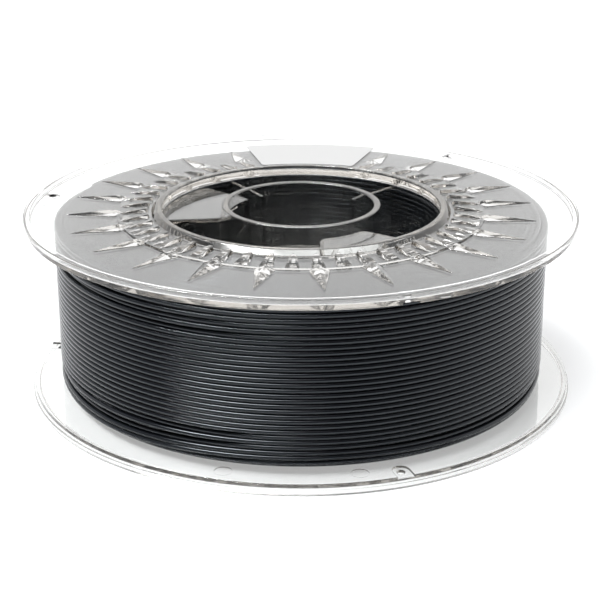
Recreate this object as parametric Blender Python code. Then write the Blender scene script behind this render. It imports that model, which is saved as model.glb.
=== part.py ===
"""A clear plastic filament spool, full of filament, in metres with +Z along the spool's axis.

The spool lies on its lower flange, with the origin at the centre of that flange's outer face. Its two halves
are the same moulding, used twice: a dished flange, half of the drum that the filament is wound on, half of the
hub that a holder's shaft passes through, and the hollow spokes and webs that tie the drum to the hub. Each part
of the moulding is modelled once, where the lower half has it. The upper half's copies share those meshes and are
turned over about a level line, so angles on the moulding run the other way round on the upper half.
"""

import math

import bmesh
import bpy
from mathutils import Matrix, Vector

MM = 0.001

# The spool's overall sizes.
SPOOL_RADIUS = 100 * MM
SPOOL_WIDTH = 67 * MM
BORE_RADIUS = 26.5 * MM
FILAMENT_RADIUS = 89.4 * MM
FILAMENT_DIAMETER = 1.75 * MM

# The flange: a flat plate set back behind a raised rim.
FLANGE_THICKNESS = 4.0 * MM
RECESS_DEPTH = 2.2 * MM
RIM_WIDTH = 2.4 * MM
RIM_LIP = 0.7 * MM
RIM_LIP_HEIGHT = 1.9 * MM

# The drum and its collar, which stands as high as the rim.
COLLAR_RADIUS = 54.5 * MM
COLLAR_WIDTH = 3.8 * MM
COLLAR_TOP_WIDTH = 2.1 * MM
COLLAR_SLOPE_HEIGHT = 1.8 * MM
DRUM_WALL = 2.4 * MM

# The hub.
HUB_WALL = 2.4 * MM
BORE_CHAMFER = 0.4 * MM

# The spokes and webs between drum and hub. Angles are in degrees on the moulding, and each spoke has its two
# ends' angles: where it starts and ends on the hub, and then on the drum.
SPOKE_SETBACK = 4.5 * MM
SPOKE_PLATE = 1.6 * MM
SPOKE_WALL = 1.6 * MM
SPOKE_CORNER = 3.0 * MM
SPOKE_ANGLES = {
    "wide_spoke": ((31.0, 86.0), (32.0, 84.0)),
    "narrow_spoke": ((259.0, 297.0), (257.0, 303.0)),
}
WEB_WALL = 1.6 * MM
WEB_ANGLES = {"long_web": 98.0, "short_web": 174.0}

# The sunburst on the plate's outer face: a low step round the collar, wedges on it, and longer spikes.
STEP_HEIGHT = 0.5 * MM
STEP_RADIUS = 66.8 * MM
SUNBURST_START = 5.0
SUNBURST_COUNT = 48
WEDGE_END = 66.2 * MM
WEDGE_INNER_WIDTH = 2.6 * MM
WEDGE_INNER_TOP = 1.6 * MM
WEDGE_INNER_HEIGHT = 1.9 * MM
WEDGE_OUTER_WIDTH = 5.2 * MM
WEDGE_OUTER_TOP = 3.4 * MM
WEDGE_OUTER_HEIGHT = 1.4 * MM
WEDGE_SLOPE = 3.4 * MM
SPIKE_START = 62.6 * MM
SPIKE_SHOULDER = 68.0 * MM
SPIKE_END = 85.0 * MM
SPIKE_WIDTH = 7.0 * MM
SPIKE_HEIGHT = 1.6 * MM
SPIKE_EDGE = 0.2 * MM
RELIEF_OVERLAP = 0.4 * MM

# The plain stretch of the plate that takes the label.
LABEL_ANGLE = 132.5
LABEL_SPAN = 34.4
LABEL_FREE_SPAN = 38.0
LABEL_INNER = 60.5 * MM
LABEL_OUTER = 91.0 * MM
LABEL_THICKNESS = 0.2 * MM

# The holes that hold the filament's end, each with a groove towards the rim on the plate's inner face.
HOLE_ANGLES = (50.0, 170.0, 290.0)
HOLE_RADIUS = 1.5 * MM
HOLE_FROM_EDGE = 5.4 * MM
GROOVE_WIDTH = 6.0 * MM
GROOVE_DEPTH = 0.8 * MM

# The upper half is the lower one turned over about this level line, at this angle.
TURN_OVER_ANGLE = 290.0

# Clearances. Parts of one moulding are kept apart by the first.
GAP = 0.3 * MM
CUT_OVERRUN = 2.0 * MM

RING_STEPS = 96
HUB_STEPS = 72
HOLE_STEPS = 16
DEGREES_PER_ARC_STEP = 4.0

# Where the driving sizes put things, on the moulding.
HUB_RADIUS = BORE_RADIUS + HUB_WALL
DRUM_INNER = COLLAR_RADIUS - COLLAR_WIDTH
DRUM_OUTER = DRUM_INNER + DRUM_WALL
MEETING_HEIGHT = SPOOL_WIDTH / 2 - GAP / 2
HOLE_CENTRE = SPOOL_RADIUS - HOLE_FROM_EDGE


def plain_material(name, color, roughness, transmission=0.0, metallic=0.0):
    """A Principled material with one colour."""
    material = bpy.data.materials.new(name)
    material.use_nodes = True
    shader = material.node_tree.nodes["Principled BSDF"]
    shader.inputs["Base Color"].default_value = (*color, 1.0)
    shader.inputs["Roughness"].default_value = roughness
    shader.inputs["Metallic"].default_value = metallic
    shader.inputs["Transmission Weight"].default_value = transmission
    return material


def polar(radius, degrees, z=0.0):
    """The point at this radius and angle."""
    angle = math.radians(degrees)
    return Vector((radius * math.cos(angle), radius * math.sin(angle), z))


def arc(radius, start, end, shortest=GAP):
    """Points along an arc, about DEGREES_PER_ARC_STEP apart but never closer than the shortest step."""
    most = int(math.radians(abs(end - start)) * radius / shortest)
    steps = max(1, min(most, round(abs(end - start) / DEGREES_PER_ARC_STEP)))
    return [polar(radius, start + (end - start) * step / steps) for step in range(steps + 1)]


def finished_mesh(name, bm):
    """The bmesh as a mesh with outward faces, smooth but for its sharp edges."""
    bmesh.ops.recalc_face_normals(bm, faces=bm.faces)
    mesh = bpy.data.meshes.new(name)
    bm.to_mesh(mesh)
    bm.free()
    mesh.shade_smooth()
    mesh.set_sharp_from_angle(angle=math.radians(30))
    return mesh


def spun_mesh(name, profile, steps):
    """A ring turned about Z from a closed profile of (radius, height) points."""
    bm = bmesh.new()
    verts = [bm.verts.new((radius, 0, height)) for radius, height in profile]
    edges = [bm.edges.new(pair) for pair in zip(verts, verts[1:] + verts[:1])]
    bmesh.ops.spin(
        bm, geom=verts + edges, cent=(0, 0, 0), axis=(0, 0, 1), angle=math.tau, steps=steps, use_merge=True
    )
    return finished_mesh(name, bm)


def add_slab(bm, outline, low, high):
    """Adds a closed slab of this outline between two heights."""
    base = bm.faces.new([bm.verts.new((point.x, point.y, low)) for point in outline])
    raised = bmesh.ops.extrude_face_region(bm, geom=[base], use_keep_orig=True)["geom"]
    moved = [item for item in raised if isinstance(item, bmesh.types.BMVert)]
    bmesh.ops.translate(bm, verts=moved, vec=(0, 0, high - low))


def guide_object(name, mesh):
    """An object that only shapes others."""
    guide = bpy.data.objects.new(name, mesh)
    guide.hide_render = True
    guide.display_type = "WIRE"
    bpy.context.scene.collection.objects.link(guide)
    return guide


def combined_mesh(name, mesh, steps):
    """The mesh after a chain of Booleans, each of them an operation and the mesh that it takes."""
    body = guide_object(name + "_blank", mesh)
    for operation, tool in steps:
        boolean = body.modifiers.new(operation.lower(), "BOOLEAN")
        boolean.operation = operation
        boolean.solver = "EXACT"
        boolean.object = guide_object(tool.name, tool)
    bpy.context.view_layer.update()
    result = bpy.data.meshes.new_from_object(body.evaluated_get(bpy.context.evaluated_depsgraph_get()))
    result.name = name
    result.shade_smooth()
    result.set_sharp_from_angle(angle=math.radians(30))
    body.modifiers.clear()
    return result


def on_label(degrees):
    """Whether an angle on the moulding lies in the stretch that is left plain for the label."""
    away = (degrees - LABEL_ANGLE + 180) % 360 - 180
    return abs(away) < LABEL_FREE_SPAN / 2


def hull(bm, points, degrees):
    """Adds the convex body round these points, turned to its angle on the moulding."""
    turn = Matrix.Rotation(math.radians(degrees), 3, "Z")
    verts = [bm.verts.new(turn @ Vector(point)) for point in points]
    bmesh.ops.convex_hull(bm, input=verts)


def wedge_outline(inner_width, outer_width, outer_end):
    """A wedge's shape from above: a round inner end by the collar, and a wider, straight outer end."""
    centre = COLLAR_RADIUS + 3 * GAP + WEDGE_INNER_WIDTH / 2
    round_end = [Vector((centre, 0, 0)) + polar(inner_width / 2, degrees) for degrees in (90, 135, 180, 225, 270)]
    straight_end = [Vector((outer_end, side * outer_width / 2, 0)) for side in (-1, 1)]
    return round_end + straight_end


def wedge_points():
    """A flat-topped bar from the collar out to the step's edge, wider and lower at its outer end."""
    foot = wedge_outline(WEDGE_INNER_WIDTH, WEDGE_OUTER_WIDTH, WEDGE_END)
    top = wedge_outline(WEDGE_INNER_TOP, WEDGE_OUTER_TOP, WEDGE_END - WEDGE_SLOPE)
    heights = [WEDGE_INNER_HEIGHT] * 5 + [WEDGE_OUTER_HEIGHT] * 2
    points = [(point.x, point.y, RECESS_DEPTH - height) for point, height in zip(top, heights)]
    for z in (RECESS_DEPTH + RELIEF_OVERLAP, RECESS_DEPTH - STEP_HEIGHT):
        points += [(point.x, point.y, z) for point in foot]
    return points


def spike_points():
    """A kite with a ridge along it, from within a wedge out to a point on the plate."""
    foot = RECESS_DEPTH + RELIEF_OVERLAP
    corners = [
        (SPIKE_START, 0),
        (SPIKE_SHOULDER, SPIKE_WIDTH / 2),
        (SPIKE_SHOULDER, -SPIKE_WIDTH / 2),
        (SPIKE_END, 0),
    ]
    eaves = RECESS_DEPTH - SPIKE_EDGE
    skirt = [(x, y, z) for x, y in corners for z in (foot, eaves)]
    return skirt + [(SPIKE_SHOULDER, 0, RECESS_DEPTH - SPIKE_HEIGHT)]


def flange_mesh():
    """The dished flange with its sunburst and its filament holes."""
    inner = COLLAR_RADIUS + GAP
    rim_inner = SPOOL_RADIUS - RIM_WIDTH
    plate_edge = SPOOL_RADIUS - RIM_LIP
    blank = spun_mesh(
        "flange_blank",
        [
            (inner, RECESS_DEPTH),
            (rim_inner, RECESS_DEPTH),
            (rim_inner, 0),
            (SPOOL_RADIUS, 0),
            (SPOOL_RADIUS, RIM_LIP_HEIGHT),
            (plate_edge, RIM_LIP_HEIGHT),
            (plate_edge, FLANGE_THICKNESS),
            (inner, FLANGE_THICKNESS),
        ],
        RING_STEPS,
    )

    bm = bmesh.new()
    start = LABEL_ANGLE + LABEL_FREE_SPAN / 2
    end = LABEL_ANGLE - LABEL_FREE_SPAN / 2 + 360
    step_inner = inner + GAP
    outline = arc(step_inner, start, end) + arc(STEP_RADIUS, end, start)
    add_slab(bm, outline, RECESS_DEPTH - STEP_HEIGHT, RECESS_DEPTH + RELIEF_OVERLAP)
    step = finished_mesh("step", bm)

    wedges = bmesh.new()
    spikes = bmesh.new()
    for number in range(SUNBURST_COUNT):
        degrees = SUNBURST_START + number * 360 / SUNBURST_COUNT
        if on_label(degrees):
            continue
        hull(wedges, wedge_points(), degrees)
        if number % 2 == 0:
            hull(spikes, spike_points(), degrees)

    holes = bmesh.new()
    grooves = bmesh.new()
    for degrees in HOLE_ANGLES:
        place = Matrix.Translation(polar(HOLE_CENTRE, degrees, FLANGE_THICKNESS / 2))
        bmesh.ops.create_cone(
            holes,
            cap_ends=True,
            segments=HOLE_STEPS,
            radius1=HOLE_RADIUS,
            radius2=HOLE_RADIUS,
            depth=FLANGE_THICKNESS + CUT_OVERRUN,
            matrix=place,
        )
        round_end = [
            Vector((HOLE_CENTRE, 0, 0)) + polar(GROOVE_WIDTH / 2, 90 + 180 * step / (HOLE_STEPS // 2))
            for step in range(HOLE_STEPS // 2 + 1)
        ]
        outer_end = SPOOL_RADIUS + CUT_OVERRUN
        outline = round_end + [
            Vector((outer_end, -GROOVE_WIDTH / 2, 0)),
            Vector((outer_end, GROOVE_WIDTH / 2, 0)),
        ]
        turn = Matrix.Rotation(math.radians(degrees), 3, "Z")
        floor = FLANGE_THICKNESS - GROOVE_DEPTH
        add_slab(grooves, [turn @ point for point in outline], floor, FLANGE_THICKNESS + CUT_OVERRUN)

    steps = [
        ("UNION", step),
        ("UNION", finished_mesh("wedges", wedges)),
        ("UNION", finished_mesh("spikes", spikes)),
        ("DIFFERENCE", finished_mesh("filament_holes", holes)),
        ("DIFFERENCE", finished_mesh("filament_grooves", grooves)),
    ]
    return combined_mesh("flange", blank, steps)


def drum_mesh():
    """Half of the drum, with the collar that stands up through the flange."""
    return spun_mesh(
        "drum",
        [
            (DRUM_INNER, 0),
            (DRUM_INNER + COLLAR_TOP_WIDTH, 0),
            (COLLAR_RADIUS, COLLAR_SLOPE_HEIGHT),
            (COLLAR_RADIUS, FLANGE_THICKNESS),
            (DRUM_OUTER, FLANGE_THICKNESS),
            (DRUM_OUTER, MEETING_HEIGHT),
            (DRUM_INNER, MEETING_HEIGHT),
        ],
        RING_STEPS,
    )


def hub_mesh():
    """Half of the hub, with a lead-in chamfer at the bore's mouth."""
    return spun_mesh(
        "hub",
        [
            (BORE_RADIUS + BORE_CHAMFER, 0),
            (HUB_RADIUS, 0),
            (HUB_RADIUS, MEETING_HEIGHT),
            (BORE_RADIUS, MEETING_HEIGHT),
            (BORE_RADIUS, BORE_CHAMFER),
        ],
        HUB_STEPS,
    )


def spoke_mesh(name, hub_span, drum_span):
    """A hollow spoke: an end plate with a wall all round it, open where the halves meet."""
    inner = HUB_RADIUS + GAP
    outer = DRUM_INNER - GAP
    bm = bmesh.new()
    inner_arc = arc(inner, *hub_span, shortest=1.2 * SPOKE_CORNER)
    outer_arc = arc(outer, *reversed(drum_span))
    corners = [inner_arc[0], inner_arc[-1], outer_arc[0], outer_arc[-1]]
    add_slab(bm, inner_arc + outer_arc, SPOKE_SETBACK, MEETING_HEIGHT)
    uprights = [edge for edge in bm.edges if is_upright_at(edge, corners)]
    bmesh.ops.bevel(
        bm, geom=uprights, offset=SPOKE_CORNER, segments=4, profile=0.5, affect="EDGES", material=-1
    )
    mouth = max(bm.faces, key=lambda face: face.calc_center_median().z)
    bmesh.ops.inset_region(bm, faces=[mouth], thickness=SPOKE_WALL, use_even_offset=True)
    mouth = max(bm.faces, key=lambda face: (round(face.calc_center_median().z, 6), face.calc_area()))
    floor = SPOKE_SETBACK + SPOKE_PLATE
    pocket = bmesh.ops.extrude_face_region(bm, geom=[mouth])["geom"]
    sunk = [item for item in pocket if isinstance(item, bmesh.types.BMVert)]
    bmesh.ops.translate(bm, verts=sunk, vec=(0, 0, floor - MEETING_HEIGHT))
    bmesh.ops.delete(bm, geom=[mouth], context="FACES_ONLY")
    return finished_mesh(name, bm)


def is_upright_at(edge, corners):
    """Whether the edge runs up and down over one of the corners."""
    low, high = (vert.co for vert in edge.verts)
    if (low.xy - high.xy).length > GAP / 10:
        return False
    return min((low.xy - corner.xy).length for corner in corners) < GAP / 10


def web_mesh(name, degrees):
    """A thin upright wall from the hub to the drum."""
    inner = HUB_RADIUS + GAP
    outer = DRUM_INNER - GAP
    half = WEB_WALL / 2
    inner_end = math.sqrt(inner**2 + half**2)
    outer_end = math.sqrt(outer**2 - half**2)
    corners = [(inner_end, -half), (outer_end, -half), (outer_end, half), (inner_end, half)]
    turn = Matrix.Rotation(math.radians(degrees), 3, "Z")
    bm = bmesh.new()
    add_slab(bm, [turn @ Vector((x, y, 0)) for x, y in corners], SPOKE_SETBACK, MEETING_HEIGHT)
    return finished_mesh(name, bm)


def filament_mesh():
    """All the filament between the flanges, as the one ring that its turns fill."""
    inner = DRUM_OUTER + GAP
    low = FLANGE_THICKNESS + GAP
    high = SPOOL_WIDTH - low
    turn = FILAMENT_DIAMETER / 2
    return spun_mesh(
        "filament",
        [
            (inner, low),
            (FILAMENT_RADIUS - turn, low),
            (FILAMENT_RADIUS, low + turn),
            (FILAMENT_RADIUS, high - turn),
            (FILAMENT_RADIUS - turn, high),
            (inner, high),
        ],
        RING_STEPS,
    )


def label_mesh():
    """A thin sector that lies on the plate's outer face."""
    start = LABEL_ANGLE - LABEL_SPAN / 2
    end = LABEL_ANGLE + LABEL_SPAN / 2
    high = RECESS_DEPTH - GAP
    bm = bmesh.new()
    add_slab(bm, arc(LABEL_INNER, start, end) + arc(LABEL_OUTER, end, start), high - LABEL_THICKNESS, high)
    return finished_mesh("label", bm)


def half_empty(name):
    """An empty that carries one half of the spool."""
    empty = bpy.data.objects.new(name, None)
    bpy.context.scene.collection.objects.link(empty)
    return empty


def add_part(name, mesh, material, parent=None):
    """One sub-part as its own object."""
    part = bpy.data.objects.new(name, mesh)
    bpy.context.scene.collection.objects.link(part)
    part.parent = parent
    if not mesh.materials:
        mesh.materials.append(material)
    return part


def build_spool():
    """Makes the two halves, the filament and the label."""
    clear = plain_material("clear_plastic", (0.93, 0.94, 0.95), 0.05, transmission=0.9)
    black = plain_material("black_filament", (0.012, 0.013, 0.015), 0.35)
    white = plain_material("white_label", (0.85, 0.85, 0.86), 0.5)

    lower_half = half_empty("lower_half")
    upper_half = half_empty("upper_half")
    turn_axis = polar(1.0, TURN_OVER_ANGLE)
    turn_over = Matrix.Rotation(math.pi, 4, turn_axis)
    upper_half.matrix_world = Matrix.Translation((0, 0, SPOOL_WIDTH)) @ turn_over

    moulding = {"flange": flange_mesh(), "drum": drum_mesh(), "hub": hub_mesh()}
    for name, (hub_span, drum_span) in SPOKE_ANGLES.items():
        moulding[name] = spoke_mesh(name, hub_span, drum_span)
    for name, degrees in WEB_ANGLES.items():
        moulding[name] = web_mesh(name, degrees)
    for name, mesh in moulding.items():
        add_part("lower_" + name, mesh, clear, lower_half)
        add_part("upper_" + name, mesh, clear, upper_half)

    add_part("filament", filament_mesh(), black)
    add_part("label", label_mesh(), white, upper_half)


for old in list(bpy.data.objects):
    bpy.data.objects.remove(old)
build_spool()
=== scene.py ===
# %% [markdown]
# # A full filament spool
#
# The object is a clear plastic spool full of black filament for a 3-D printer. The CAD model is loaded
# first, as a fixed frame. It says how large each piece is and where it lies. The cells below then build
# what is seen: the two clear mouldings as solid glass-like bodies, the filament turn by turn, the label,
# and the light that makes clear plastic readable.

import math

import bmesh
import bpy
from mathutils import Matrix, Vector


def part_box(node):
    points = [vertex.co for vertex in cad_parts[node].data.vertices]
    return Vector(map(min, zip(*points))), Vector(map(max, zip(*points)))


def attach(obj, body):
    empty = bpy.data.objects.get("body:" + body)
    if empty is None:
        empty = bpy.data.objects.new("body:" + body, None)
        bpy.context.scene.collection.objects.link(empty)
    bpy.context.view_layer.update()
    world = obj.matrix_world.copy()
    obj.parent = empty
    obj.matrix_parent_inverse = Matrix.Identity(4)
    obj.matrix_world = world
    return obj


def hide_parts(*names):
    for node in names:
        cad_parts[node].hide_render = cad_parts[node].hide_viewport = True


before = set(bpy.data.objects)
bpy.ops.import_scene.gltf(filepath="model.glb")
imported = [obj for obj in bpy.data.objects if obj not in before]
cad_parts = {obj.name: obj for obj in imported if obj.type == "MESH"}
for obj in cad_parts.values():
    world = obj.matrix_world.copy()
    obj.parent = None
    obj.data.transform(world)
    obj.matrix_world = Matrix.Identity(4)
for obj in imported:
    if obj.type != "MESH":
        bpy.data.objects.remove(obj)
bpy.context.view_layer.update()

# %% [markdown]
# ## Sizes
#
# Everything is in metres. The outer sizes are read from the frame, so the looks follow the CAD model if it
# changes. A box gives outer sizes only, so walls and setbacks are named here.

# %% Sizes read from the frame, and the named ones
MM = 0.001


def reach(node):
    """How far a round node reaches from the axis."""
    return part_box(node)[1].x


SPOOL_RADIUS = reach("lower_flange")
SPOOL_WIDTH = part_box("upper_flange")[1].z
FLANGE_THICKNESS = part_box("lower_flange")[1].z
COLLAR_RADIUS = reach("lower_drum")
HUB_RADIUS = reach("lower_hub")
WINDING_RADIUS = reach("filament")
WINDING_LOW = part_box("filament")[0].z
WINDING_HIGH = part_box("filament")[1].z
MIDDLE = SPOOL_WIDTH / 2

RECESS_DEPTH = 2.2 * MM
RIM_WIDTH = 2.4 * MM
RIM_LIP = 0.7 * MM
RIM_LIP_HEIGHT = 1.9 * MM
COLLAR_WIDTH = 3.8 * MM
COLLAR_TOP_WIDTH = 2.1 * MM
COLLAR_SLOPE_HEIGHT = 1.8 * MM
DRUM_WALL = 2.4 * MM
HUB_WALL = 2.4 * MM
DRUM_INNER = COLLAR_RADIUS - COLLAR_WIDTH
DRUM_OUTER = DRUM_INNER + DRUM_WALL
BORE_RADIUS = HUB_RADIUS - HUB_WALL
HALF_GAP = 0.1 * MM
RING_STEPS = 192
SHARP_ANGLE = 35
CLOSE = 1e-6
print("spool", round(SPOOL_RADIUS / MM * 2, 1), "x", round(SPOOL_WIDTH / MM, 1), "mm")

# %% [markdown]
# ## Helpers for meshes
#
# A moulding like this is mostly turned shapes, so the main helper spins a profile. The profile is a list of
# corners, each with its own rounding: moulded plastic has no truly sharp edge, and on clear plastic it is
# the small round edges that catch the light. The corners are rounded with a vertex bevel while the profile
# is still one flat face.

# %% Mesh helpers


def polar(radius, degrees, z=0.0):
    """The point at this radius and angle."""
    angle = math.radians(degrees)
    return Vector((radius * math.cos(angle), radius * math.sin(angle), z))


def arc(radius, start, end, per_step=2.0, shortest=0.0):
    """Points along an arc, no nearer to each other than the shortest step."""
    steps = abs(end - start) / per_step
    if shortest:
        steps = min(steps, math.radians(abs(end - start)) * radius / shortest)
    steps = max(1, int(steps))
    return [polar(radius, start + (end - start) * step / steps) for step in range(steps + 1)]


def mesh_from(bm, name):
    """The bmesh as a mesh with outward faces, smooth but for its sharp edges."""
    bmesh.ops.recalc_face_normals(bm, faces=bm.faces)
    mesh = bpy.data.meshes.new(name)
    bm.to_mesh(mesh)
    bm.free()
    mesh.shade_smooth()
    mesh.set_sharp_from_angle(angle=math.radians(SHARP_ANGLE))
    return mesh


def piece_from(mesh, name):
    """An object that shows this mesh."""
    piece = bpy.data.objects.new(name, mesh)
    bpy.context.scene.collection.objects.link(piece)
    return piece


def turned(name, corners, steps=RING_STEPS):
    """A ring spun about Z from a closed profile of (radius, height, rounding) corners."""
    bm = bmesh.new()
    verts = [bm.verts.new((radius, 0, height)) for radius, height, _ in corners]
    bm.faces.new(verts)
    roundings = sorted({rounding for _, _, rounding in corners if rounding > 0})
    groups = [[v for v, c in zip(verts, corners) if c[2] == rounding] for rounding in roundings]
    for rounding, group in zip(roundings, groups):
        bmesh.ops.bevel(
            bm, geom=group, offset=rounding, segments=3, profile=0.5, affect="VERTICES", material=-1
        )
    bmesh.ops.delete(bm, geom=bm.faces[:], context="FACES_ONLY")
    bmesh.ops.spin(
        bm, geom=bm.verts[:] + bm.edges[:], cent=(0, 0, 0), axis=(0, 0, 1), angle=math.tau, steps=steps,
        use_merge=True
    )
    return mesh_from(bm, name)


def add_slab(bm, outline, low, high):
    """A closed slab of this outline between two heights."""
    base = bm.faces.new([bm.verts.new((point.x, point.y, low)) for point in outline])
    raised = bmesh.ops.extrude_face_region(bm, geom=[base], use_keep_orig=True)["geom"]
    moved = [item for item in raised if isinstance(item, bmesh.types.BMVert)]
    bmesh.ops.translate(bm, verts=moved, vec=(0, 0, high - low))


def repeated(name, mesh, angles):
    """One mesh with a copy of a small mesh at each angle."""
    bm = bmesh.new()
    for degrees in angles:
        before = len(bm.verts)
        bm.from_mesh(mesh)
        bm.verts.ensure_lookup_table()
        turn = Matrix.Rotation(math.radians(degrees), 3, "Z")
        bmesh.ops.rotate(bm, verts=bm.verts[before:], cent=(0, 0, 0), matrix=turn)
    return mesh_from(bm, name)


def combined(name, blank, tools):
    """The blank after a chain of exact Booleans, each an operation and the mesh that it takes."""
    body = piece_from(blank, name + "_blank")
    helpers = [body]
    for operation, tool in tools:
        boolean = body.modifiers.new(operation.lower(), "BOOLEAN")
        boolean.operation = operation
        boolean.solver = "EXACT"
        boolean.object = piece_from(tool, tool.name + "_tool")
        helpers.append(boolean.object)
    bpy.context.view_layer.update()
    mesh = bpy.data.meshes.new_from_object(body.evaluated_get(bpy.context.evaluated_depsgraph_get()))
    for helper in helpers:
        bpy.data.objects.remove(helper)
    mesh.name = name
    mesh.shade_smooth()
    mesh.set_sharp_from_angle(angle=math.radians(SHARP_ANGLE))
    print(name, len(mesh.polygons), "faces after", len(tools), "Booleans")
    return mesh


# %% [markdown]
# ## One half of the spool
#
# The real spool is two identical mouldings that meet at the middle. One is made here where the lower half
# lies, with its outer face on the floor. First come the round parts: one profile takes in rim, plate,
# collar and drum wall, because in the real part they are one body of plastic, and light runs through them
# without meeting a seam.

# %% The flange with its collar and drum, and the hub
EDGE = 0.35 * MM
MOUTH_EDGE = 0.5 * MM
SLOPE_EDGE = 0.15 * MM
MEETING_EDGE = 0.2 * MM
LIP_SLOPE = 0.1 * MM
flange_ring = turned(
    "flange_ring",
    [
        (DRUM_INNER, 0, MOUTH_EDGE),
        (DRUM_INNER + COLLAR_TOP_WIDTH, 0, EDGE),
        (COLLAR_RADIUS, COLLAR_SLOPE_HEIGHT, SLOPE_EDGE),
        (COLLAR_RADIUS, RECESS_DEPTH, SLOPE_EDGE),
        (SPOOL_RADIUS - RIM_WIDTH, RECESS_DEPTH, EDGE),
        (SPOOL_RADIUS - RIM_WIDTH, 0, EDGE),
        (SPOOL_RADIUS, 0, EDGE),
        (SPOOL_RADIUS, RIM_LIP_HEIGHT, EDGE),
        (SPOOL_RADIUS - RIM_LIP, RIM_LIP_HEIGHT + LIP_SLOPE, 0),
        (SPOOL_RADIUS - RIM_LIP, FLANGE_THICKNESS, EDGE),
        (DRUM_OUTER, FLANGE_THICKNESS, MOUTH_EDGE),
        (DRUM_OUTER, MIDDLE - HALF_GAP, MEETING_EDGE),
        (DRUM_INNER, MIDDLE - HALF_GAP, MEETING_EDGE),
    ],
)
hub_ring = turned(
    "hub_ring",
    [
        (BORE_RADIUS, 0, MOUTH_EDGE),
        (HUB_RADIUS, 0, EDGE),
        (HUB_RADIUS, MIDDLE - HALF_GAP, MEETING_EDGE),
        (BORE_RADIUS, MIDDLE - HALF_GAP, MEETING_EDGE),
    ],
)
print("flange ring", len(flange_ring.polygons), "faces, hub ring", len(hub_ring.polygons))

# %% [markdown]
# ## Spokes and webs
#
# Drum and hub are tied together by two hollow spokes and two thin webs. A spoke is an upside-down tray: an
# end plate with a wall round it, open towards the other half. It starts as a slab, its corners and its top
# edge are bevelled, and then the open side is inset and pushed in. Its ends run into the walls of hub and
# drum, so the Boolean union makes one body of them.

# %% Spokes and webs
SPOKE_SETBACK = 4.5 * MM
SPOKE_PLATE = 1.6 * MM
SPOKE_WALL = 1.6 * MM
SPOKE_CORNER = 3.0 * MM
SPOKE_EDGE = 0.9 * MM
WEB_EDGE = 0.4 * MM
WALL_BITE = 0.9 * MM
SPOKES = {
    "wide_spoke": ((31.0, 86.0), (32.0, 84.0)),
    "narrow_spoke": ((259.0, 297.0), (257.0, 303.0)),
}
WEBS = {"long_web": 98.0, "short_web": 174.0}


def over_corner(edge, corners):
    """Whether an edge stands upright over one of these corners."""
    low, high = (vert.co for vert in edge.verts)
    upright = (low.xy - high.xy).length < CLOSE
    return upright and min((low.xy - corner.xy).length for corner in corners) < CLOSE


def lies_outermost(edge):
    """Whether an edge lies in the plane of the spokes' and webs' outer side."""
    return max(vert.co.z for vert in edge.verts) < SPOKE_SETBACK + CLOSE


def spoke(name, hub_span, drum_span):
    """A hollow spoke with its plate towards the flange's outer face."""
    bm = bmesh.new()
    inner = arc(HUB_RADIUS - WALL_BITE, *hub_span, shortest=1.2 * SPOKE_CORNER)
    outer = arc(DRUM_INNER + WALL_BITE, *reversed(drum_span), shortest=1.2 * SPOKE_CORNER)
    mouth_height = MIDDLE - 2 * HALF_GAP
    add_slab(bm, inner + outer, SPOKE_SETBACK, mouth_height)
    corners = [inner[0], inner[-1], outer[0], outer[-1]]
    bmesh.ops.bevel(
        bm, geom=[edge for edge in bm.edges if over_corner(edge, corners)], offset=SPOKE_CORNER, segments=4,
        profile=0.5, affect="EDGES", material=-1
    )
    plate_edges = [edge for edge in bm.edges if lies_outermost(edge)]
    bmesh.ops.bevel(
        bm, geom=plate_edges, offset=SPOKE_EDGE, segments=3, profile=0.5, affect="EDGES", material=-1
    )
    mouth = max(bm.faces, key=lambda face: face.calc_center_median().z)
    bmesh.ops.inset_region(bm, faces=[mouth], thickness=SPOKE_WALL, use_even_offset=True)
    pocket = bmesh.ops.extrude_face_region(bm, geom=[mouth])["geom"]
    sunk = [item for item in pocket if isinstance(item, bmesh.types.BMVert)]
    bmesh.ops.translate(bm, verts=sunk, vec=(0, 0, SPOKE_SETBACK + SPOKE_PLATE - mouth_height))
    bmesh.ops.delete(bm, geom=[mouth], context="FACES_ONLY")
    return mesh_from(bm, name)


def web(name, degrees):
    """A thin upright wall with a rounded outer edge."""
    bm = bmesh.new()
    half = SPOKE_WALL / 2
    start = HUB_RADIUS - WALL_BITE
    end = DRUM_INNER + WALL_BITE
    corners = ((start, -half, 0), (end, -half, 0), (end, half, 0), (start, half, 0))
    add_slab(bm, [Vector(corner) for corner in corners], SPOKE_SETBACK, MIDDLE - 2 * HALF_GAP)
    rim = [edge for edge in bm.edges if lies_outermost(edge)]
    bmesh.ops.bevel(bm, geom=rim, offset=WEB_EDGE, segments=2, profile=0.5, affect="EDGES", material=-1)
    turn = Matrix.Rotation(math.radians(degrees), 3, "Z")
    bmesh.ops.rotate(bm, verts=bm.verts[:], cent=(0, 0, 0), matrix=turn)
    return mesh_from(bm, name)


ties = [spoke(name, *spans) for name, spans in SPOKES.items()]
ties += [web(name, degrees) for name, degrees in WEBS.items()]
print("spokes and webs:", [(tie.name, len(tie.polygons)) for tie in ties])

# %% [markdown]
# ## The sunburst
#
# Round the collar the plate carries a low step with wedges on it, and every second wedge runs on into a
# long pointed spike. On the real moulding they stiffen the plate and scatter light. Each is the convex hull
# of a few points, with its edges bevelled, and is then repeated round the plate. A stretch is left plain
# for the label.

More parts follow.
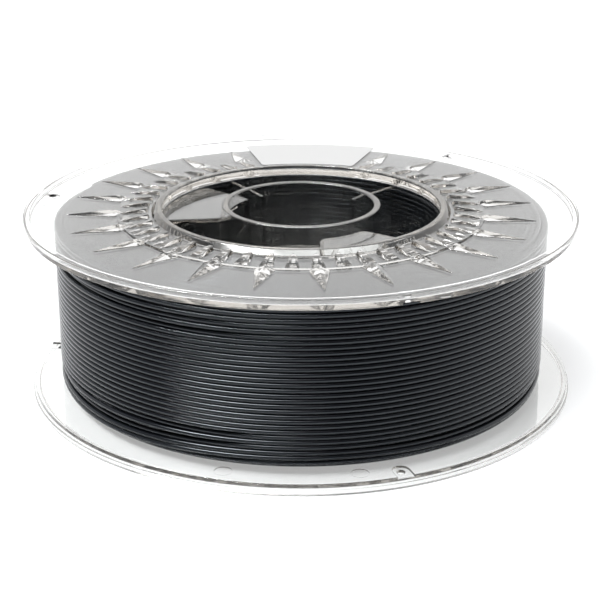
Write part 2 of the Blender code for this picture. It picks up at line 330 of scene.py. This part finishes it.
# %% The sunburst's step, wedges and spikes
STEP_HEIGHT = 0.5 * MM
STEP_RADIUS = 66.8 * MM
SUNBURST_START = 5.0
SUNBURST_COUNT = 48
WEDGE_HEAD = COLLAR_RADIUS + 2.2 * MM
WEDGE_END = 66.2 * MM
WEDGE_FOOT_WIDTHS = (2.6 * MM, 5.2 * MM)
WEDGE_TOP_WIDTHS = (1.6 * MM, 3.4 * MM)
WEDGE_HEIGHTS = (1.9 * MM, 1.4 * MM)
WEDGE_SLOPE = 3.4 * MM
WEDGE_EDGE = 0.18 * MM
SPIKE_START = 62.6 * MM
SPIKE_SHOULDER = 68.0 * MM
SPIKE_END = 85.0 * MM
SPIKE_WIDTHS = (7.0 * MM, 0.5 * MM)
SPIKE_HEIGHT = 1.6 * MM
SPIKE_SKIRT = 0.15 * MM
SPIKE_EDGE = 0.12 * MM
RELIEF_OVERLAP = 0.4 * MM
LABEL_ANGLE = 132.5
LABEL_FREE_SPAN = 38.0


def hull_mesh(name, points, rounding):
    """The convex body round these points, with its edges rounded."""
    bm = bmesh.new()
    verts = [bm.verts.new(point) for point in points]
    bmesh.ops.convex_hull(bm, input=verts)
    bmesh.ops.dissolve_limit(bm, angle_limit=math.radians(1), verts=bm.verts[:], edges=bm.edges[:])
    bmesh.ops.recalc_face_normals(bm, faces=bm.faces)
    underside = max(vert.co.z for vert in bm.verts)
    seen = [edge for edge in bm.edges if min(vert.co.z for vert in edge.verts) < underside - CLOSE]
    bmesh.ops.bevel(
        bm, geom=seen, offset=rounding, segments=2, profile=0.5, affect="EDGES", material=-1,
        clamp_overlap=True
    )
    return mesh_from(bm, name)


def skirted(corners, eaves, foot):
    """Each corner at two heights."""
    return [(x, y, z) for x, y in corners for z in (eaves, foot)]


def wedge_outline(inner_width, outer_width, outer_end):
    """A wedge's shape from above: a round head by the collar, and a wider, straight outer end."""
    head = [Vector((WEDGE_HEAD, 0, 0)) + point for point in arc(inner_width / 2, 90, 270, per_step=30)]
    return head + [Vector((outer_end, side * outer_width / 2, 0)) for side in (-1, 1)]


foot = RECESS_DEPTH + RELIEF_OVERLAP
wedge_foot = wedge_outline(*WEDGE_FOOT_WIDTHS, WEDGE_END)
wedge_top = wedge_outline(*WEDGE_TOP_WIDTHS, WEDGE_END - WEDGE_SLOPE)
wedge_heights = [WEDGE_HEIGHTS[0]] * (len(wedge_top) - 2) + [WEDGE_HEIGHTS[1]] * 2
wedge = hull_mesh(
    "wedge",
    skirted([point.xy for point in wedge_foot], RECESS_DEPTH - STEP_HEIGHT, foot)
    + [(point.x, point.y, RECESS_DEPTH - height) for point, height in zip(wedge_top, wedge_heights)],
    WEDGE_EDGE,
)
spike_corners = [(SPIKE_START, 0)]
for radius, width in zip((SPIKE_SHOULDER, SPIKE_END), SPIKE_WIDTHS):
    spike_corners += [(radius, width / 2), (radius, -width / 2)]
spike = hull_mesh(
    "spike",
    skirted(spike_corners, RECESS_DEPTH - SPIKE_SKIRT, foot)
    + [(SPIKE_SHOULDER, 0, RECESS_DEPTH - SPIKE_HEIGHT)],
    SPIKE_EDGE,
)


def plain_for_label(degrees):
    """Whether an angle lies in the stretch that is left plain."""
    away = (degrees - LABEL_ANGLE + 180) % 360 - 180
    return abs(away) < LABEL_FREE_SPAN / 2


burst_angles = [SUNBURST_START + number * 360 / SUNBURST_COUNT for number in range(SUNBURST_COUNT)]
wedges = repeated("wedges", wedge, [a for a in burst_angles if not plain_for_label(a)])
spikes = repeated("spikes", spike, [a for a in burst_angles[::2] if not plain_for_label(a)])

step_bm = bmesh.new()
step_start = LABEL_ANGLE + LABEL_FREE_SPAN / 2
step_end = LABEL_ANGLE - LABEL_FREE_SPAN / 2 + 360
step_inside = arc(COLLAR_RADIUS - RELIEF_OVERLAP, step_start, step_end)
step_outside = arc(STEP_RADIUS, step_end, step_start)
add_slab(step_bm, step_inside + step_outside, RECESS_DEPTH - STEP_HEIGHT, foot)
step = mesh_from(step_bm, "step")
print("sunburst:", len(wedges.polygons), "wedge faces,", len(spikes.polygons), "spike faces")

# %% [markdown]
# ## Holes and moulding marks
#
# Three small holes near the rim hold the filament's end, each with a shallow groove on the plate's inner
# face that runs out to the rim. Round dimples beside them are what the mould's ejector pins leave.

# %% Filament holes, grooves and pin marks
HOLE_ANGLES = (50.0, 170.0, 290.0)
HOLE_RADIUS = 1.5 * MM
HOLE_FROM_EDGE = 5.4 * MM
HOLE_CENTRE = SPOOL_RADIUS - HOLE_FROM_EDGE
GROOVE_WIDTH = 6.0 * MM
GROOVE_DEPTH = 0.8 * MM
PIN_RADIUS = 3.0 * MM
PIN_DEPTH = 0.25 * MM
PIN_CENTRE = 93.3 * MM
PIN_ANGLES = (254.3, 281.8, 14.3, 41.8, 134.3, 161.8)
CUT_OVERRUN = 2.0 * MM


def round_pin(name, radius, centre, low, high):
    """An upright pin at this distance from the axis."""
    bm = bmesh.new()
    place = Matrix.Translation((centre, 0, (low + high) / 2))
    bmesh.ops.create_cone(
        bm, cap_ends=True, segments=24, radius1=radius, radius2=radius, depth=high - low, matrix=place
    )
    return mesh_from(bm, name)


hole = round_pin("hole", HOLE_RADIUS, HOLE_CENTRE, -CUT_OVERRUN, FLANGE_THICKNESS + CUT_OVERRUN)
groove_bm = bmesh.new()
groove_end = [Vector((HOLE_CENTRE, 0, 0)) + point for point in arc(GROOVE_WIDTH / 2, 90, 270, per_step=15)]
groove_mouth = [
    Vector((SPOOL_RADIUS + CUT_OVERRUN, -GROOVE_WIDTH / 2, 0)),
    Vector((SPOOL_RADIUS + CUT_OVERRUN, GROOVE_WIDTH / 2, 0)),
]
groove_floor = FLANGE_THICKNESS - GROOVE_DEPTH
add_slab(groove_bm, groove_end + groove_mouth, groove_floor, FLANGE_THICKNESS + CUT_OVERRUN)
groove = mesh_from(groove_bm, "groove")
mark = round_pin("mark", PIN_RADIUS, PIN_CENTRE, FLANGE_THICKNESS - PIN_DEPTH, FLANGE_THICKNESS + CUT_OVERRUN)

# %% [markdown]
# ## Joining the half, and turning it over
#
# The Booleans make one closed body of all this. The upper half is a copy of the same mesh, turned over
# about a level line and raised by the spool's width. A weighted-normal modifier keeps the flat faces flat
# where they meet small round edges, which matters more on clear plastic than on anything else, since a bent
# normal bends the light.

# %% The lower and the upper half
TURN_OVER_ANGLE = 290.0
half = combined(
    "spool_half",
    flange_ring,
    [("UNION", hub_ring)]
    + [("UNION", tie) for tie in ties]
    + [
        ("UNION", step),
        ("UNION", wedges),
        ("UNION", spikes),
        ("DIFFERENCE", repeated("holes", hole, HOLE_ANGLES)),
        ("DIFFERENCE", repeated("grooves", groove, HOLE_ANGLES)),
        ("DIFFERENCE", repeated("marks", mark, PIN_ANGLES)),
    ],
)
turn_over = Matrix.Translation((0, 0, SPOOL_WIDTH)) @ Matrix.Rotation(math.pi, 4, polar(1.0, TURN_OVER_ANGLE))
upper_mesh = half.copy()
upper_mesh.transform(turn_over)
lower_spool = piece_from(half, "lower_half")
upper_spool = piece_from(upper_mesh, "upper_half")
for spool_half in (lower_spool, upper_spool):
    weighted = spool_half.modifiers.new("even_normals", "WEIGHTED_NORMAL")
    weighted.keep_sharp = True
    weighted.weight = 50
    check_bm = bmesh.new()
    check_bm.from_mesh(spool_half.data)
    print(spool_half.name, "open or bad edges:", sum(not edge.is_manifold for edge in check_bm.edges),
          "volume cm3:", round(check_bm.calc_volume() * 1e6, 1))
    check_bm.free()

# %% [markdown]
# ## The filament
#
# About 335 m of filament lies between the flanges, and only its outermost turns show: the outer layer, the
# innermost layer through the drum, and the edges of the layers through the two plates. Each is a helix or a
# spiral, worked out turn by turn as the points of a curve, and the curve's round bevel makes the filament.
# Behind them a plain dark ring stands for the hidden turns.

# %% The filament, and a helper that lays a run of it
FILAMENT_DIAMETER = 1.75 * MM
ROW_PITCH = 1.81 * MM
TURN_STEPS = 150


def filament_run(name, points, resolution=2):
    """A length of filament along these points, as a mesh."""
    curve = bpy.data.curves.new(name, "CURVE")
    curve.dimensions = "3D"
    curve.bevel_depth = FILAMENT_DIAMETER / 2
    curve.bevel_resolution = resolution
    curve.use_fill_caps = True
    spline = curve.splines.new("POLY")
    spline.points.add(len(points) - 1)
    for slot, point in zip(spline.points, points):
        slot.co = (*point, 1.0)
    drawn = bpy.data.objects.new(name + "_curve", curve)
    bpy.context.scene.collection.objects.link(drawn)
    bpy.context.view_layer.update()
    mesh = bpy.data.meshes.new_from_object(drawn.evaluated_get(bpy.context.evaluated_depsgraph_get()))
    bpy.data.objects.remove(drawn)
    mesh.name = name
    mesh.shade_smooth()
    print(name, len(mesh.polygons), "faces,", round(len(points) / TURN_STEPS, 1), "turns")
    return piece_from(mesh, name)


lowest = WINDING_LOW + FILAMENT_DIAMETER / 2
highest = WINDING_HIGH - FILAMENT_DIAMETER / 2
outer_turns = round((highest - lowest) / ROW_PITCH)
outer_pitch = (highest - lowest) / outer_turns
print("one layer has", outer_turns, "turns,", round(outer_pitch / MM, 3), "mm apart")

# %% [markdown]
# ## The outer layer
#
# A winding machine lays the turns evenly, but near the flanges they have no neighbour to lean on. There rows
# lift off or sag at one side of the spool, and a turn sinks between two others, which shows as a dark line
# that opens and closes again. The helix is therefore moved a little, row by row, by smooth swells at chosen
# angles, and a slow wander keeps the rest from looking ruled. Both ends of the helix lie at the back.

# %% The outer layer
END_ANGLE = 100
LOOSE_BOTTOM_ROWS = 4.5
LOOSE_TOP_ROWS = 2.5
WANDER = 0.05
LOOSE_WANDER = 0.3
LOOSE_SINK = 0.4
SAG_SINK = 1.2
SAG_SINK_ROWS = 1.4
SUNKEN_DROP = 0.35

# Where end rows have left their places: how far in mm, at which angle, how far round, and how many rows.
LIFTED_ROWS = ((1.7, 204, 62, 3.2),)
SAGGING_ROWS = ((1.6, 218, 45, 4.8), (1.4, 325, 50, 3.8))

# Turns that have sunk between others: how deep in mm, at which angle, how far round, and which turn.
SUNKEN_TURNS = (
    (1.5, 214, 55, 26.3),
    (1.0, 236, 40, 24.4),
    (1.6, 222, 55, 3.3),
    (0.9, 240, 40, 5.4),
    (1.5, 322, 50, 2.6),
)


def sway(turn, seed):
    """A slow, smooth wander between about -1 and 1, for a turn number that can be a fraction."""
    slow = math.sin(turn * 1.7 + seed)
    middling = 0.7 * math.sin(turn * 2.9 + 2.3 * seed)
    quick = 0.5 * math.sin(turn * 5.3 + seed * 0.7)
    return (slow + middling + quick) / 2.2


def swell(degrees, centre, width):
    """A smooth rise to 1 at one angle, and back to 0 at this width on either side."""
    away = abs((degrees - centre + 180) % 360 - 180)
    return 0.5 + 0.5 * math.cos(math.pi * away / width) if away < width else 0.0


def share(number):
    """The number, kept between 0 and 1."""
    return min(max(number, 0.0), 1.0)


def drift(moved_rows, degrees, rows_away):
    """How far loose rows have moved, this many rows away from their flange, in mm."""
    return sum(
        amount * swell(degrees, angle, width) * share(rows - rows_away)
        for amount, angle, width, rows in moved_rows
    )


def sunken_depth(degrees, turn):
    """How deep this turn has sunk between its neighbours, in mm."""
    return sum(
        depth * swell(degrees, angle, width) * share(1 - abs(turn - which))
        for depth, angle, width, which in SUNKEN_TURNS
    )


def outer_point(turn):
    """Where the outer layer's filament is after this many turns from the bottom."""
    degrees = 360 * turn + END_ANGLE
    to_top = outer_turns - turn
    looseness = share(1 - turn / LOOSE_BOTTOM_ROWS) + share(1 - to_top / LOOSE_TOP_ROWS)
    lift = drift(LIFTED_ROWS, degrees, to_top)
    sag = drift(SAGGING_ROWS, degrees, turn)
    sunk = sunken_depth(degrees, turn)
    wander = sway(turn, 1.0) * (WANDER + LOOSE_WANDER * looseness)
    height = lowest + turn * outer_pitch + (lift - sag + wander - SUNKEN_DROP * sunk) * MM
    sink = abs(sway(turn, 4.0)) * (WANDER + LOOSE_SINK * looseness)
    sink += SAG_SINK * sag * share(SAG_SINK_ROWS - turn) + sunk
    radius = WINDING_RADIUS - FILAMENT_DIAMETER / 2 - sink * MM
    return polar(radius, degrees, min(max(height, lowest), highest))


outer_points = [outer_point(number / TURN_STEPS) for number in range(outer_turns * TURN_STEPS + 1)]
outer_layer = filament_run("outer_layer", outer_points, resolution=3)

# %% [markdown]
# ## The layer beneath, and the innermost one
#
# Through the gaps in the outer layer a second one shows, wound the other way along the drum, as every second
# layer is. The innermost layer lies on the drum and shows through its clear wall.

# %% The layer beneath, and the innermost one
UNDER_DEPTH = 1.8 * FILAMENT_DIAMETER
UNDER_START = 40
DRUM_CLEARANCE = 0.2 * MM

under_points = []
for number in range((outer_turns - 1) * TURN_STEPS + 1):
    turn = number / TURN_STEPS
    height = highest - (turn + 0.5) * outer_pitch
    under_points.append(polar(WINDING_RADIUS - UNDER_DEPTH, 360 * turn + UNDER_START, height))
under_layer = filament_run("under_layer", under_points)

inner_points = []
inner_radius = DRUM_OUTER + DRUM_CLEARANCE + FILAMENT_DIAMETER / 2
for number in range(outer_turns * TURN_STEPS + 1):
    turn = number / TURN_STEPS
    inner_points.append(polar(inner_radius, 360 * turn, lowest + turn * outer_pitch))
inner_layer = filament_run("inner_layer", inner_points)

# %% [markdown]
# ## The turns at the two flanges, and the hidden rest
#
# Each layer ends at a flange, and the ends of all layers show through it as rings. They are one spiral here.
# Layers that end at a flange and layers that start there don't reach it equally, so every second turn lies
# a little deeper, and that makes the rings readable. A plain ring fills the inside.

# %% The turns at the two flanges, and the hidden rest
LAYER_PITCH = 1.78 * MM
DIP = 0.35 * MM
DIP_CHANGE = 0.3
DIP_WANDER = 0.05
CORE_INSET = 3.0 * MM
CORE_SETBACK = 0.9 * MM
CORE_STEPS = 96

face_turns = (WINDING_RADIUS - FILAMENT_DIAMETER / 2 - inner_radius) / LAYER_PITCH
faces = {}
for name, height, inward, seed in (
    ("lower_face_turns", lowest, 1, 3.0),
    ("upper_face_turns", highest, -1, 5.0),
):
    face_points = []
    for number in range(int(face_turns * TURN_STEPS) + 1):
        turn = number / TURN_STEPS
        change = DIP_CHANGE * math.sin(math.pi * turn + seed) + DIP_WANDER * sway(turn, seed)
        dip = (DIP + change * MM) * inward
        face_points.append(polar(inner_radius + turn * LAYER_PITCH, 360 * turn + 10 * seed, height + dip))
    faces[name] = filament_run(name, face_points)

core_mesh = turned(
    "winding_core",
    [
        (inner_radius, lowest + CORE_SETBACK, 0),
        (WINDING_RADIUS - CORE_INSET, lowest + CORE_SETBACK, 0),
        (WINDING_RADIUS - CORE_INSET, highest - CORE_SETBACK, 0),
        (inner_radius, highest - CORE_SETBACK, 0),
    ],
    steps=CORE_STEPS,
)
winding_core = piece_from(core_mesh, "winding_core")
winding = [outer_layer, under_layer, inner_layer]
winding += [faces["upper_face_turns"], faces["lower_face_turns"], winding_core]

# %% [markdown]
# ## The label
#
# A white sticker lies on the plate's plain stretch. It is a thin sector with round corners.

# %% The label
LABEL_SPAN = 34.4
LABEL_INNER = 60.5 * MM
LABEL_OUTER = 91.0 * MM
LABEL_CORNER = 1.5 * MM
LABEL_GLUE = 0.03 * MM
LABEL_THICKNESS = 0.12 * MM
label_angle = 2 * TURN_OVER_ANGLE - LABEL_ANGLE
plate_top = SPOOL_WIDTH - RECESS_DEPTH
label_bm = bmesh.new()
label_inside = arc(LABEL_INNER, label_angle - LABEL_SPAN / 2, label_angle + LABEL_SPAN / 2)
label_outside = arc(LABEL_OUTER, label_angle + LABEL_SPAN / 2, label_angle - LABEL_SPAN / 2)
label_base = plate_top + LABEL_GLUE
add_slab(label_bm, label_inside + label_outside, label_base, label_base + LABEL_THICKNESS)
label_corners = [label_inside[0], label_inside[-1], label_outside[0], label_outside[-1]]
bmesh.ops.bevel(
    label_bm, geom=[edge for edge in label_bm.edges if over_corner(edge, label_corners)], offset=LABEL_CORNER,
    segments=4, profile=0.5, affect="EDGES", material=-1
)
label = piece_from(mesh_from(label_bm, "label_sticker"), "label_sticker")
print("label", round((LABEL_OUTER - LABEL_INNER) / MM, 1), "mm deep, over", LABEL_SPAN, "degrees")

# %% [markdown]
# ## Materials
#
# Each material is a small network of shader nodes. The two classes below keep such networks short: a Value
# wraps a node's socket and lets Python's own operators work on it, and a Kit adds nodes and links them.

# %% A small kit for shader nodes


class Value:
    """A socket that Python's operators work on: each operation adds its Math node."""

    def __init__(self, kit, socket):
        self.kit = kit
        self.socket = socket

    def math(self, operation, first, second):
        return self.kit.add("ShaderNodeMath", {"operation": operation}, {0: first, 1: second})

    def __add__(self, other):
        return self.math("ADD", self, other)

    def __radd__(self, other):
        return self.math("ADD", other, self)

    def __sub__(self, other):
        return self.math("SUBTRACT", self, other)

    def __rsub__(self, other):
        return self.math("SUBTRACT", other, self)

    def __mul__(self, other):
        return self.math("MULTIPLY", self, other)

    def __rmul__(self, other):
        return self.math("MULTIPLY", other, self)


class Kit:
    """The nodes of one material."""

    def __init__(self, name):
        self.material = bpy.data.materials.new(name)
        self.material.use_nodes = True
        self.nodes = self.material.node_tree.nodes
        self.links = self.material.node_tree.links
        self.shader = self.nodes["Principled BSDF"]

    def add(self, kind, settings=None, values=None, output=0):
        """Adds a node: its settings first, then its sockets' values or links."""
        node = self.nodes.new(kind)
        for key, value in (settings or {}).items():
            setattr(node, key, value)
        for key, value in (values or {}).items():
            self.feed(node.inputs[key], value)
        return Value(self, node.outputs[output])

    def feed(self, socket, value):
        """Links a Value to a socket, or sets the socket's own number or colour."""
        if isinstance(value, Value):
            self.links.new(value.socket, socket)
        else:
            socket.default_value = value

    def surface(self, **values):
        """Sets the shader's sockets, with underscores for the spaces in their names."""
        for key, value in values.items():
            self.feed(self.shader.inputs[key.replace("_", " ")], value)
        return self.material

    def let_light_through(self, tint):
        """Lets rays from lamps and from matt surfaces pass straight through."""
        open_side = self.nodes.new("ShaderNodeBsdfTransparent")
        open_side.inputs["Color"].default_value = tint
        shader = self.shader
        for ray in ("Is Diffuse Ray", "Is Shadow Ray"):
            path = self.nodes.new("ShaderNodeLightPath")
            mix = self.nodes.new("ShaderNodeMixShader")
            self.links.new(path.outputs[ray], mix.inputs[0])
            self.links.new(shader.outputs[0], mix.inputs[1])
            self.links.new(open_side.outputs[0], mix.inputs[2])
            shader = mix
        self.links.new(shader.outputs[0], self.nodes["Material Output"].inputs["Surface"])
        return self.material

    def absorb(self, color, density):
        """Makes the body itself take a little of the light, more over a longer way."""
        body = self.nodes.new("ShaderNodeVolumeAbsorption")
        body.inputs["Color"].default_value = color
        body.inputs["Density"].default_value = density
        self.links.new(body.outputs[0], self.nodes["Material Output"].inputs["Volume"])

    def noise(self, scale, detail=3.0, stretch=(1.0, 1.0, 1.0)):
        """Noise on object coordinates."""
        place = self.add("ShaderNodeTexCoord", output="Object")
        place = self.add("ShaderNodeMapping", {}, {"Vector": place, "Scale": stretch})
        return self.add("ShaderNodeTexNoise", {}, {"Vector": place, "Scale": scale, "Detail": detail})

    def mix(self, factor, first, second):
        """A colour between two colours. The node's sockets 6 and 7 are its two colours."""
        node = self.nodes.new("ShaderNodeMix")
        node.data_type = "RGBA"
        self.feed(node.inputs["Factor"], factor)
        self.feed(node.inputs[6], first)
        self.feed(node.inputs[7], second)
        return Value(self, node.outputs[2])

    def bump(self, height, strength, distance):
        """A bump from a height."""
        return self.add("ShaderNodeBump", {}, {"Height": height, "Strength": strength, "Distance": distance})


# %% [markdown]
# Spools like this are moulded in clear polystyrene. It bends light more than glass does, its polished mould
# leaves it almost mirror smooth, and faint waves in it come from the way the plastic shrinks as it cools.
# Over a long way through a rim it takes a little of the light, most of all the blue, so the rims look grey
# brown. A thin clear wall casts next to no shadow, and the renderer would give it a black one, so rays from
# lamps and from matt surfaces are let straight through.

# %% Clear polystyrene
def clear_plastic():
    """Clear polystyrene: nearly colourless, polished, with the mould's faint waviness."""
    kit = Kit("clear_polystyrene")
    waves = kit.noise(60.0, 2.0)
    fine = kit.noise(900.0, 2.0)
    tint = kit.mix(waves, (0.955, 0.96, 0.955, 1), (0.97, 0.972, 0.968, 1))
    kit.surface(
        Base_Color=tint,
        Roughness=0.02 + 0.02 * fine,
        IOR=1.59,
        Transmission_Weight=1.0,
        Normal=kit.bump(waves, 0.06, 0.001),
    )
    kit.absorb((0.32, 0.26, 0.18, 1), 18.0)
    return kit.let_light_through((0.9, 0.91, 0.905, 1))


clear = clear_plastic()
for spool_half in (lower_spool, upper_spool):
    spool_half.data.materials.append(clear)


# %% [markdown]
# The filament is drawn through a round nozzle and cooled in water, which leaves it black with a soft shine
# and with streaks along it that can hardly be seen. What makes it readable is one bright line on each turn.

# %% Black filament
def black_filament():
    """Black filament, satin from the extruder, with faint streaks."""
    kit = Kit("black_filament")
    streaks = kit.noise(700.0, 4.0)
    patches = kit.noise(35.0, 2.0)
    color = kit.mix(patches, (0.0024, 0.0030, 0.0042, 1), (0.0042, 0.0050, 0.0066, 1))
    return kit.surface(
        Base_Color=color,
        Roughness=0.11 + 0.05 * patches,
        IOR=1.46,
        Specular_IOR_Level=0.46,
        Specular_Tint=(0.86, 0.93, 1.0, 1),
        Normal=kit.bump(streaks, 0.02, 0.0003),
    )


black = black_filament()
for turns in winding:
    turns.data.materials.append(black)


# %% [markdown]
# The label is white coated paper. It is left blank here.

# %% Label paper
def label_paper():
    """White coated paper with a faint fibre grain."""
    kit = Kit("label_paper")
    grain = kit.noise(1500.0, 5.0)
    color = kit.mix(grain, (0.33, 0.33, 0.33, 1), (0.36, 0.36, 0.36, 1))
    return kit.surface(
        Base_Color=color,
        Roughness=0.5 + 0.15 * grain,
        Specular_IOR_Level=0.15,
        Normal=kit.bump(grain, 0.1, 0.0002),
    )


label.data.materials.append(label_paper())

# %% [markdown]
# ## Floor
#
# A plain white floor that glows a little, as a lit white table does. It keeps the shadows under the clear
# flanges soft.

# %% Floor
FLOOR_SIZE = 6.0
FLOOR_DROP = 0.2 * MM
floor_bm = bmesh.new()
bmesh.ops.create_grid(floor_bm, x_segments=1, y_segments=1, size=FLOOR_SIZE / 2)
bmesh.ops.translate(floor_bm, verts=floor_bm.verts[:], vec=(0, 0, -FLOOR_DROP))
floor = piece_from(mesh_from(floor_bm, "floor"), "floor")
floor_kit = Kit("floor_white")
floor_grain = floor_kit.noise(4.0, 2.0)
floor_white = floor_kit.surface(
    Base_Color=floor_kit.mix(floor_grain, (0.420, 0.425, 0.435, 1), (0.440, 0.445, 0.455, 1)),
    Roughness=0.6,
    Specular_IOR_Level=0.1,
    Emission_Color=(1.0, 1.0, 1.0, 1),
    Emission_Strength=0.52,
)
floor.data.materials.append(floor_white)
print("floor", FLOOR_SIZE, "m wide, top at", -FLOOR_DROP / MM, "mm")

# %% [markdown]
# ## Light
#
# Clear plastic and black plastic show little but reflections, so the light is planned as what they reflect.
# The world is a white studio: bright walls behind the object, which the plates mirror at a low angle, a
# darker side towards the camera, which keeps the filament black, and a greyer ceiling. A bright bar high at
# the front left draws the thin line on each turn. It fades out towards its ends, so the lines do too.

# %% World and light
WALLS_FRONT = 0.07
WALLS_BACK = 1.32
WALLS_LEAN = 0.3
WALLS_DARK_UNTIL = -0.9
WALLS_FULL_FROM = 0.7
CEILING_SHARE = 0.7
CEILING_FROM = 0.55
CEILING_FULL_FROM = 0.9
BAR_SIDE = Vector((0.45, -0.893))
BAR_LENGTH = 0.50
BAR_LOW = 0.79
BAR_HIGH = 0.86
BAR_THICKNESS = 0.07
BAR_STRENGTH = 60.0


class Sky(Kit):
    """The nodes of the world."""

    def __init__(self, name):
        world = bpy.data.worlds.new(name)
        world.use_nodes = True
        bpy.context.scene.world = world
        self.nodes = world.node_tree.nodes
        self.links = world.node_tree.links
        self.shader = self.nodes["Background"]

    def parts(self):
        """The view direction's three numbers."""
        direction = self.add("ShaderNodeTexCoord")
        split = self.add("ShaderNodeSeparateXYZ", {}, {0: direction})
        return [Value(self, split.socket.node.outputs[axis]) for axis in "XYZ"]

    def ramp(self, value, low, high, first, last):
        """A smooth step from one number to another."""
        return self.add(
            "ShaderNodeMapRange", {"interpolation_type": "SMOOTHSTEP"},
            {"Value": value, "From Min": low, "From Max": high, "To Min": first, "To Max": last}
        )


sky = Sky("studio")
to_right, to_back, up = sky.parts()
to_bright_side = to_back + WALLS_LEAN * to_right
walls = sky.ramp(to_bright_side, WALLS_DARK_UNTIL, WALLS_FULL_FROM, WALLS_FRONT, WALLS_BACK)
ceiling = sky.ramp(up, CEILING_FROM, CEILING_FULL_FROM, 1.0, CEILING_SHARE)

# The bar: bright at its middle, fading out along its length, and cut off behind the object.
across = BAR_SIDE.x * to_right + BAR_SIDE.y * to_back
beside = sky.ramp(across * across, 0.0, BAR_LENGTH**2, BAR_STRENGTH, 0.0)
over_lower_edge = sky.ramp(up, BAR_LOW, BAR_HIGH, 0.0, 1.0)
under_upper_edge = sky.ramp(up, BAR_LOW + BAR_THICKNESS, BAR_HIGH + BAR_THICKNESS, 1.0, 0.0)
front_left = sky.ramp(BAR_SIDE.y * to_right - BAR_SIDE.x * to_back, 0.0, 0.1, 0.0, 1.0)
bar = beside * (over_lower_edge * under_upper_edge) * front_left
sky.feed(sky.shader.inputs["Color"], (1.0, 1.0, 1.0, 1.0))
sky.feed(sky.shader.inputs["Strength"], walls * ceiling + bar)

# %% [markdown]
# Light that is caught in a clear wall is reflected many times before it finds its way out. With few
# reflections allowed the rims and spikes turn black, so the rays may live longer here. Stray bright rays
# are held back, since they would speckle the dark inside of the drum.

# %% How light is followed and shown
scene = bpy.context.scene
scene.view_settings.view_transform = "Standard"
scene.cycles.max_bounces = 32
scene.cycles.glossy_bounces = 24
scene.cycles.transmission_bounces = 24
scene.cycles.sample_clamp_indirect = 4.0
print("light is followed for", scene.cycles.max_bounces, "bounces")

# %% [markdown]
# ## Camera
#
# A long lens at about half a metre, 21 degrees above the table, so that the upper flange shows as a flat
# ellipse with the hub open in it, and the lower flange shows under the winding.

# %% Camera
camera_data = bpy.data.cameras.new("camera")
camera = bpy.data.objects.new("camera", camera_data)
scene.collection.objects.link(camera)
camera_data.sensor_width = 36.0
camera_data.lens = 90.56
camera_data.clip_start = 0.01
camera.location = (0.0, -0.5270, 0.2281)
aim = Vector((-0.0004, 0, 0.0292)) - camera.location
camera.rotation_euler = aim.to_track_quat("-Z", "Y").to_euler()
scene.camera = camera
print("camera looks down at", round(math.degrees(math.asin(-aim.normalized().z)), 1), "degrees")

# %% [markdown]
# ## Pieces and nodes
#
# Nothing on a spool moves against the rest, so each piece rides on the one body. Each half stands for the
# seven CAD nodes that its moulding was divided into, and all turns together stand for the filament.

# %% Tell the frame which piece stands for which node
MOULDED = ("flange", "drum", "hub", "wide_spoke", "narrow_spoke", "long_web", "short_web")
for side, spool_half in (("lower", lower_spool), ("upper", upper_spool)):
    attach(spool_half, "root")
    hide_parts(*[f"{side}_{part}" for part in MOULDED])
for turns in winding:
    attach(turns, "root")
    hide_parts("filament")
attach(label, "root")
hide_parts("label")
